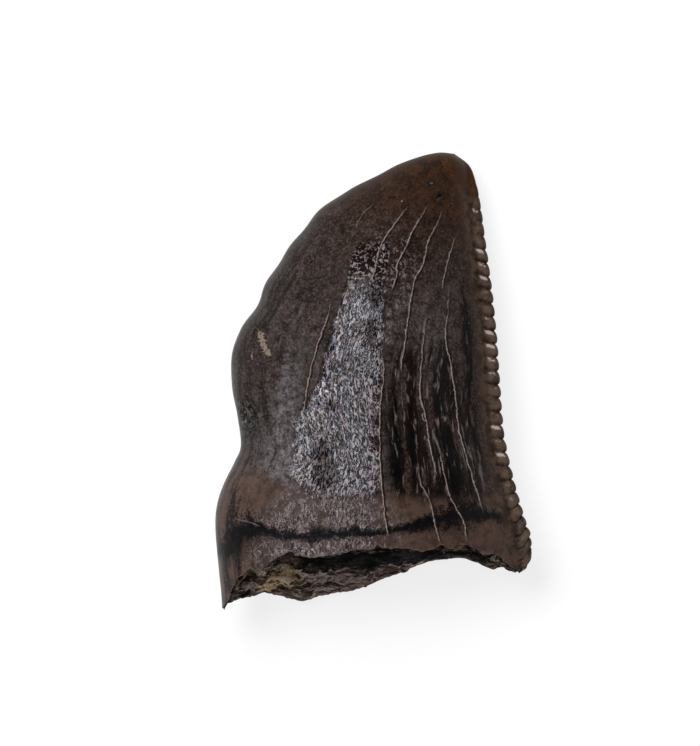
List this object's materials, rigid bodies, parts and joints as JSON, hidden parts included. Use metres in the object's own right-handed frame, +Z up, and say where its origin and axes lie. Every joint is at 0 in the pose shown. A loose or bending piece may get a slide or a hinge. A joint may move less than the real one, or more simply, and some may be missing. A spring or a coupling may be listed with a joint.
{
  "type": "fossil tyrannosaur tooth",
  "caption": "Curved, laterally flattened fossil tooth crown with a serrated rear edge and a broken base, lying on its side.",
  "frame": {"origin": "under the middle of the tooth's box, on the surface that its lingual side rests on", "axes": "+X towards the serrated distal edge, +Y along the crown towards the tip, +Z up, out of the labial face"},
  "size_m": [0.0104, 0.0152, 0.0056],
  "materials": {
    "fossil_enamel": "satin dark brown to blue-black mineralised enamel, with a warm brown tip, pale hairline cracks and a rough broken base"
  },
  "bodies": {
    "root": {"tooth_crown": "fossil_enamel"}
  },
  "joints": []
}
